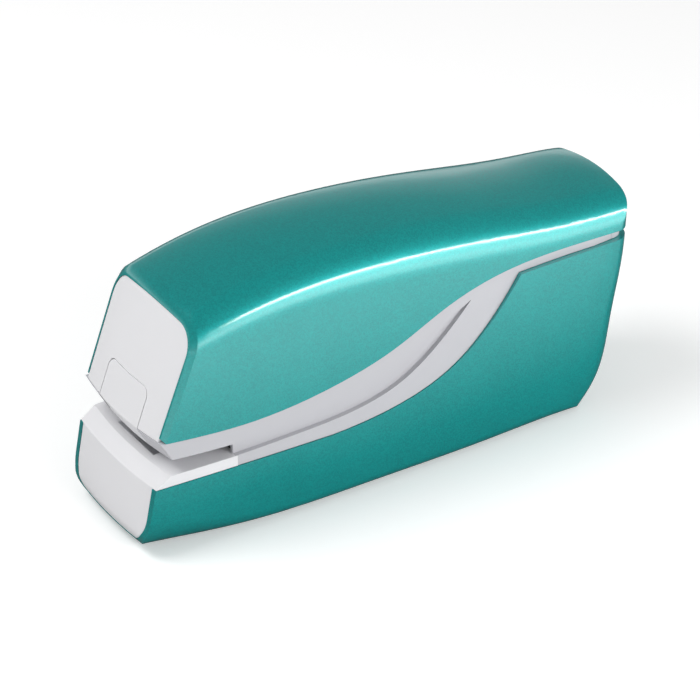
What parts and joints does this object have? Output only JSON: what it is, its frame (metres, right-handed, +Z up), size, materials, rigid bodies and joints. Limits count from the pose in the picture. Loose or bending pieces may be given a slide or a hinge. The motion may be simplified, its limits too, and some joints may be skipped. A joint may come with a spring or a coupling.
{
  "type": "electric stapler",
  "caption": "Battery-powered desk stapler: teal shells, grey side frame, white nose, cap and pull-out magazine with a geared drive inside.",
  "frame": {"origin": "on the ground under the middle of the stapler", "axes": "+X to the right side, the paper mouth faces -Y, +Z up"},
  "size_m": [0.0526, 0.1817, 0.0867],
  "materials": {
    "teal_plastic": "satin",
    "white_plastic": "satin",
    "grey_plastic": "matte",
    "black_plastic": "matte",
    "steel_sheet": "satin",
    "bright_steel": "polished",
    "gear_plastic": "matte",
    "brass": "satin",
    "board": "satin",
    "can_metal": "satin",
    "cell_wrap": "satin",
    "rubber": "matte",
    "wire_cover": "satin"
  },
  "bodies": {
    "base": {"upper_shell": "teal_plastic", "lower_shell": "teal_plastic", "side_frame_right": "grey_plastic", "side_frame_left": "grey_plastic", "rear_band": "grey_plastic", "nose_block": "white_plastic", "front_cap": "white_plastic", "anvil_plate": "bright_steel", "core_frame": "black_plastic", "magazine_guide": "steel_sheet", "paper_sensor": "black_plastic", "guide_rods": "bright_steel", "return_springs": "bright_steel", "spring_bar": "bright_steel", "motor": "steel_sheet", "motor_bracket": "steel_sheet", "drive_plate_right": "steel_sheet", "drive_plate_left": "steel_sheet", "circuit_board": "board", "capacitors": "can_metal", "control_chip": "black_plastic", "wire_socket": "gear_plastic", "battery_box": "black_plastic", "cell_front_right": "cell_wrap", "cell_rear_right": "cell_wrap", "cell_front_left": "cell_wrap", "cell_rear_left": "cell_wrap", "contact_right": "bright_steel", "contact_left": "bright_steel", "contact_link": "bright_steel", "contact_springs": "bright_steel", "case_screws": "steel_sheet", "feet": "rubber"},
    "crank": {"crank_shaft": "bright_steel", "crank_gear": "gear_plastic"},
    "middle": {"middle_gear": "gear_plastic"},
    "first": {"first_gear": "gear_plastic"},
    "rotor": {"motor_pinion": "brass", "motor_shaft": "bright_steel"},
    "driver": {"driver_carriage": "black_plastic", "driver_blade": "bright_steel"},
    "magazine": {"magazine_door": "white_plastic", "magazine_channel": "steel_sheet", "staple_rail": "steel_sheet", "staple_strip": "bright_steel", "pusher_rod": "bright_steel", "pusher_spring": "bright_steel"},
    "pusher_body": {"pusher": "black_plastic"},
    "trigger": {"paper_trigger": "black_plastic"},
    "door": {"battery_door": "teal_plastic"}
  },
  "joints": [
    {"name": "crank_turn", "type": "hinge", "parent": "base", "child": "crank", "pos_m": [0, -0.05685, 0.062], "axis": [1, 0, 0], "range_deg": [0, 180]},
    {"name": "middle_turn", "type": "hinge", "parent": "base", "child": "middle", "pos_m": [0, -0.04125, 0.062], "axis": [1, 0, 0], "range_deg": [-601, 1]},
    {"name": "first_turn", "type": "hinge", "parent": "base", "child": "first", "pos_m": [0, -0.02565, 0.062], "axis": [1, 0, 0], "range_deg": [-1, 2001]},
    {"name": "motor_turn", "type": "hinge", "parent": "base", "child": "rotor", "pos_m": [0, -0.01005, 0.062], "axis": [1, 0, 0], "range_deg": [-6668, 1]},
    {"name": "driver_slide", "type": "slide", "parent": "base", "child": "driver", "axis": [0, 0, -1], "range_m": [0, 0.0116], "deforming": ["return_springs"]},
    {"name": "magazine_slide", "type": "slide", "parent": "base", "child": "magazine", "axis": [0, -1, 0], "range_m": [0, 0.058]},
    {"name": "pusher_slide", "type": "slide", "parent": "magazine", "child": "pusher_body", "axis": [0, 1, 0], "range_m": [0, 0.016], "stiffness_N_per_m": 30, "springref_m": -0.03, "deforming": ["pusher_spring"]},
    {"name": "trigger_swing", "type": "hinge", "parent": "base", "child": "trigger", "pos_m": [0.0126, -0.06025, 0.038], "axis": [1, 0, 0], "range_deg": [0, 12]},
    {"name": "battery_door_swing", "type": "hinge", "parent": "base", "child": "door", "pos_m": [0, -0.04725, 0.0036], "axis": [-1, 0, 0], "range_deg": [0, 90]}
  ],
  "couplings": [
    {"joint": "middle_turn", "follows": "crank_turn", "ratio": -3.3333},
    {"joint": "first_turn", "follows": "crank_turn", "ratio": 11.111},
    {"joint": "motor_turn", "follows": "crank_turn", "ratio": -37.037},
    {"joint": "driver_slide", "follows": "crank_turn", "m_per_rad": 0.0036606}
  ]
}
